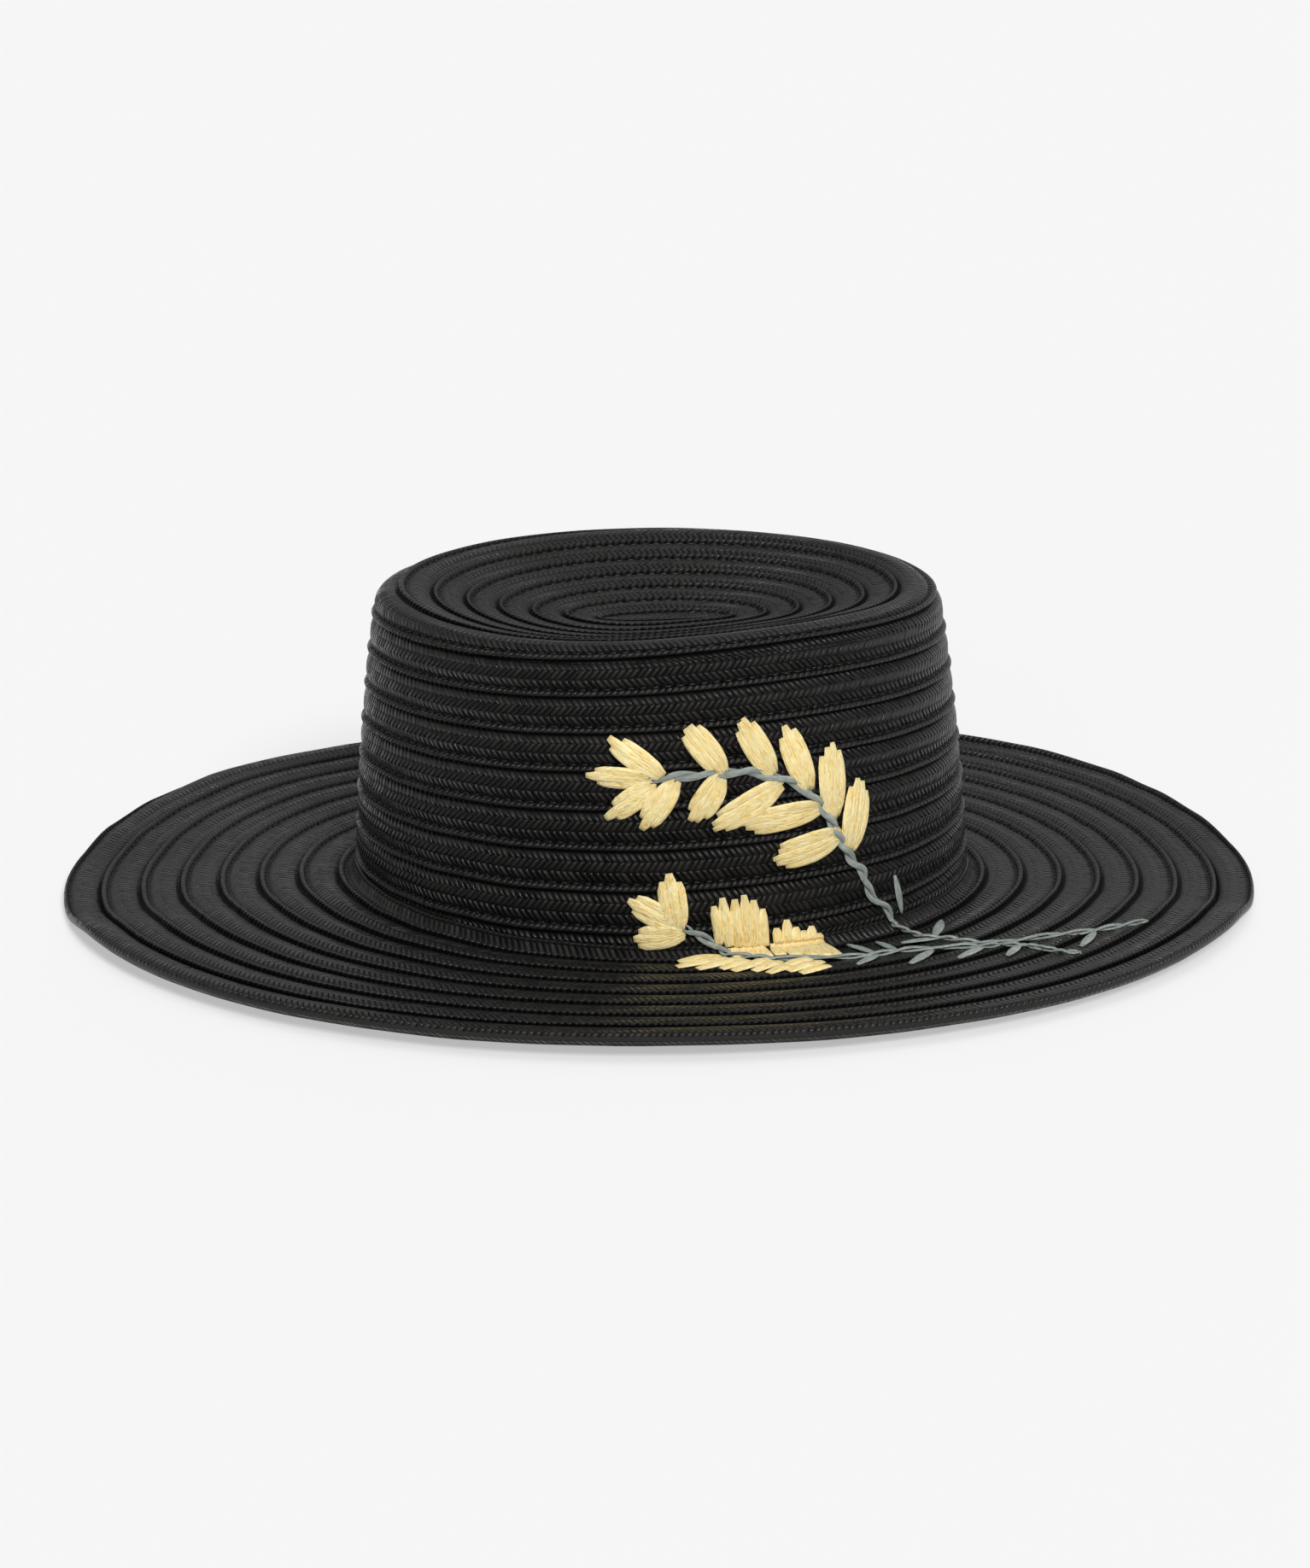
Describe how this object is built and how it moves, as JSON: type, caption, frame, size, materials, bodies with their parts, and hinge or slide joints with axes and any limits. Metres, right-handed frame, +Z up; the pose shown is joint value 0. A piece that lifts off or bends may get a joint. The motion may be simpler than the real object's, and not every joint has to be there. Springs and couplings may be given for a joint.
{
  "type": "straw boater hat",
  "caption": "Straw boater with a dished oval crown and a flat round brim of lapped spiral braid, with a sprig of pale leaves embroidered on the crown and brim.",
  "frame": {"origin": "middle of the hat's outline, on the surface that it rests on", "axes": "+X along the long way of the head, +Z up; the sprig is on the -Y side"},
  "size_m": [0.397, 0.363, 0.1057],
  "materials": {
    "straw": "black sewn paper-straw braid with a soft sheen",
    "stem": "grey-green twisted raffia, matt",
    "leaf": "pale yellow raffia satin stitch, slightly glossy"
  },
  "bodies": {
    "root": {"crown_tip": "straw", "crown_side": "straw", "brim": "straw", "brim_edge": "straw", "upper_stem": "stem", "lower_stem": "stem", "stem_tail": "stem", "twig_1": "stem", "twig_2": "stem", "twig_3": "stem", "twig_4": "stem", "twig_5": "stem", "twig_6": "stem", "twig_7": "stem", "twig_8": "stem", "twig_9": "stem", "twig_10": "stem", "upper_leaf_1": "leaf", "upper_leaf_2": "leaf", "upper_leaf_3": "leaf", "upper_leaf_4": "leaf", "upper_leaf_5": "leaf", "upper_leaf_6": "leaf", "upper_leaf_7": "leaf", "upper_leaf_8": "leaf", "upper_leaf_9": "leaf", "upper_leaf_10": "leaf", "upper_leaf_11": "leaf", "upper_leaf_12": "leaf", "upper_leaf_13": "leaf", "lower_leaf_1": "leaf", "lower_leaf_2": "leaf", "lower_leaf_3": "leaf", "lower_leaf_4": "leaf", "lower_leaf_5": "leaf", "lower_leaf_6": "leaf", "lower_leaf_7": "leaf", "lower_leaf_8": "leaf", "lower_leaf_9": "leaf", "lower_leaf_10": "leaf", "lower_leaf_11": "leaf"}
  },
  "joints": []
}
